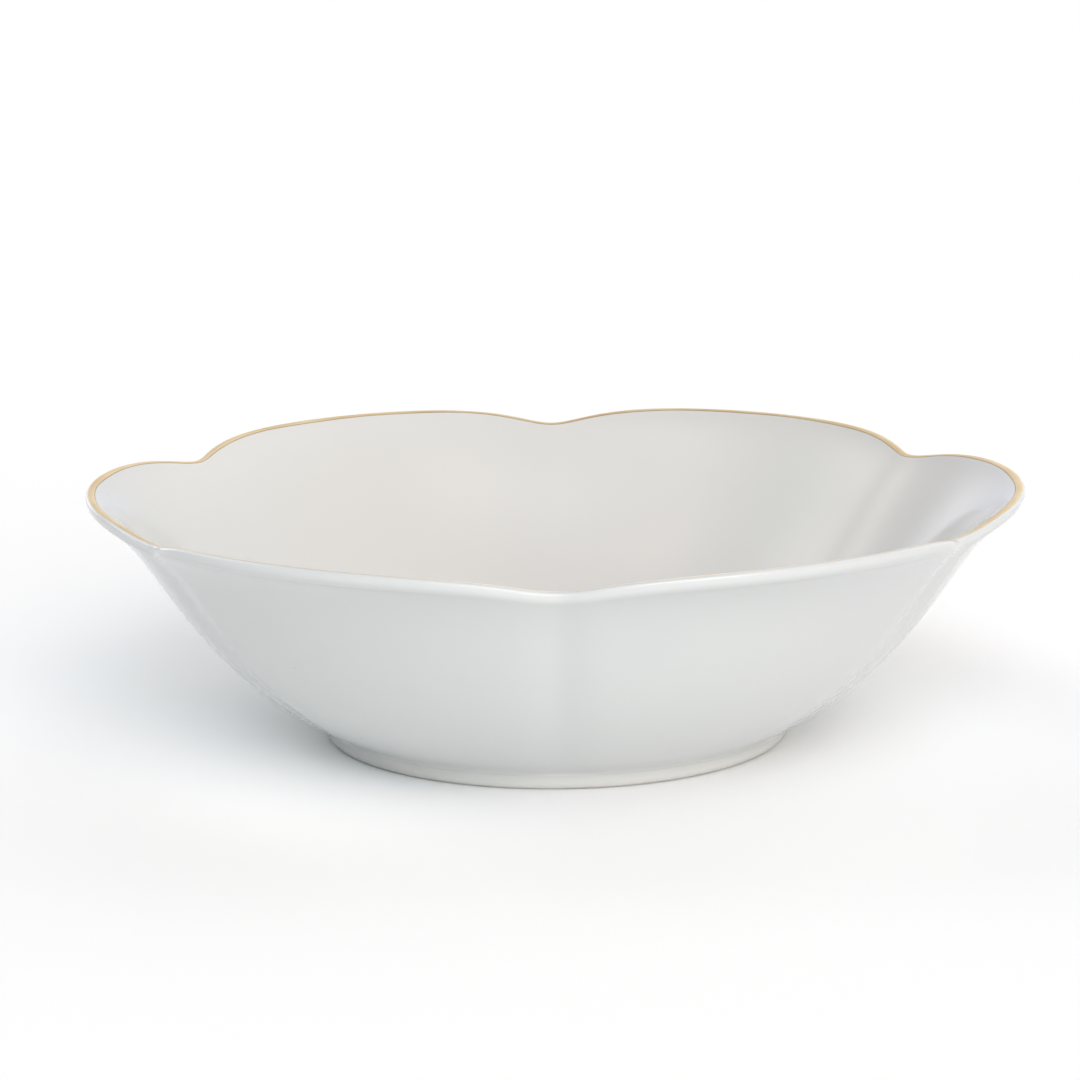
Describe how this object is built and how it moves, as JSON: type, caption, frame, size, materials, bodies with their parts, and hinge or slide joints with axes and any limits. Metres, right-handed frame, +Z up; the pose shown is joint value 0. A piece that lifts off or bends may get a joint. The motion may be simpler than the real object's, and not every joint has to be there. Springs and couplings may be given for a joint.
{
  "type": "serving bowl",
  "caption": "Lobed round serving bowl of white glazed porcelain with an everted lip, a thin gold band round the rim and a low foot ring.",
  "frame": {"origin": "centre of the foot ring's bearing face, on the table's surface", "axes": "+Z up, along the bowl's axis; +X through the middle of a lobe, so a notch lies on +Y and on -Y"},
  "size_m": [0.24, 0.232, 0.0656],
  "materials": {
    "porcelain_body": "bare fired porcelain, matt and fine-grained, seen only on the foot's bearing face",
    "inside_glaze": "clear gloss glaze over warm white porcelain",
    "outside_glaze": "clear gloss glaze over white porcelain, faintly cool",
    "gold": "thin burnished gold fired on the glaze"
  },
  "bodies": {
    "root": {"bowl_body": "porcelain_body", "foot_ring": "porcelain_body", "inside_glaze": "inside_glaze", "outside_glaze": "outside_glaze", "foot_glaze": "outside_glaze", "base_glaze": "outside_glaze", "gold_rim_band": "gold"}
  },
  "joints": []
}
